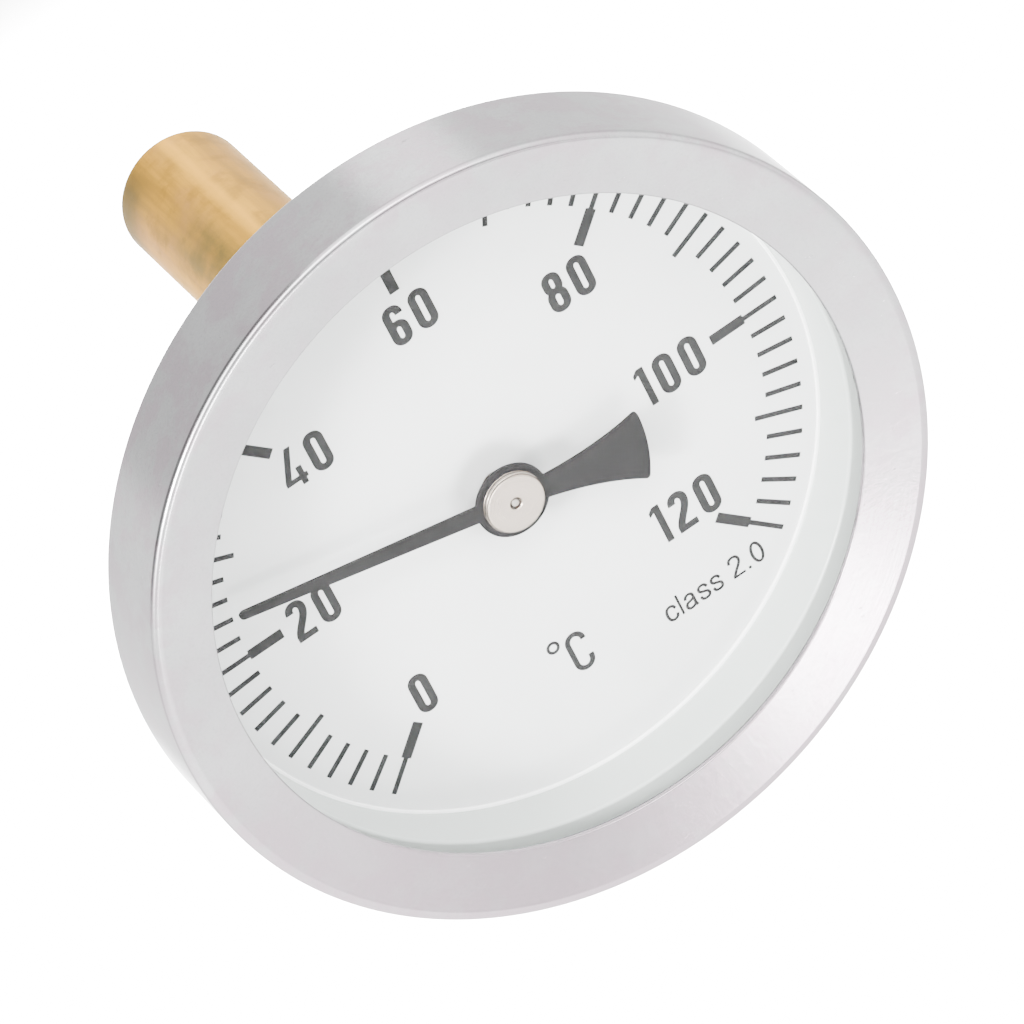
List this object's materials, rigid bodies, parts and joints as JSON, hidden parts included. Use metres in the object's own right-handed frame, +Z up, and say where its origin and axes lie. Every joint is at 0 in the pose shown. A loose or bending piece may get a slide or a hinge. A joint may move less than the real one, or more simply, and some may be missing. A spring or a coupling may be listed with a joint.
{
  "type": "dial thermometer",
  "caption": "Back-entry bimetal dial thermometer: round flat glazed head with a 0 to 120 degree Celsius scale, and a brass immersion pocket with a pipe thread.",
  "frame": {"origin": "on the stem's axis, in the face of the sealing washer that presses on the tank or pipe boss", "axes": "+Y along the stem into the vessel, so the dial faces -Y; +Z up on the dial; +X to the right of a person reading it"},
  "size_m": [0.063, 0.0665, 0.063],
  "materials": {
    "case_metal": "satin, lightly marked",
    "pressed_steel": "zinc plated, satin",
    "window_glass": "polished flat glass",
    "gasket": "matte",
    "spacer": "white, matte",
    "dial": "matte white enamel",
    "pointer_paint": "matte dark grey",
    "nickel": "nickel plated, turned",
    "steel": "ground steel",
    "bearing": "acetal, natural",
    "turned_brass": "turned",
    "bimetal": "rolled strip",
    "zinc_steel": "zinc plated",
    "pocket_brass": "satin, with patina",
    "fibre": "red vulcanised fibre"
  },
  "bodies": {
    "pocket": {"pocket": "pocket_brass", "thread_washer": "fibre"},
    "clamp_screw": {"clamp_screw": "zinc_steel"},
    "stem": {"stem_tube": "turned_brass", "stem_boss": "turned_brass", "front_bearing": "bearing", "rear_bearing": "bearing", "tube_plug": "turned_brass", "bimetal_coil": "bimetal", "spring_washer": "steel", "back_nut": "zinc_steel"},
    "case": {"case_pot": "pressed_steel", "bezel_ring": "case_metal", "window_glass": "window_glass", "window_gasket": "gasket", "spacer_ring": "spacer", "dial_plate": "dial"},
    "pointer": {"pointer": "pointer_paint", "pointer_hub": "nickel", "hub_cap": "nickel", "spindle": "steel", "coil_collar": "turned_brass"}
  },
  "joints": [
    {"name": "clamp_screw_travel", "type": "slide", "parent": "pocket", "child": "clamp_screw", "axis": [1, 0, 0], "range_m": [0, 0.003]},
    {"name": "stem_slide", "type": "slide", "parent": "pocket", "child": "stem", "axis": [0, -1, 0], "range_m": [0, 0.055]},
    {"name": "case_turn", "type": "hinge", "parent": "stem", "child": "case", "pos_m": [0, -0.0118, 0], "axis": [0, 1, 0], "range_deg": [-20, 20]},
    {"name": "pointer_turn", "type": "hinge", "parent": "stem", "child": "pointer", "pos_m": [0, -0.0168, 0], "axis": [0, 1, 0], "range_deg": [-58.05, 211.95], "stiffness_Nm_per_rad": 0.0001, "deforming": ["bimetal_coil"]}
  ]
}
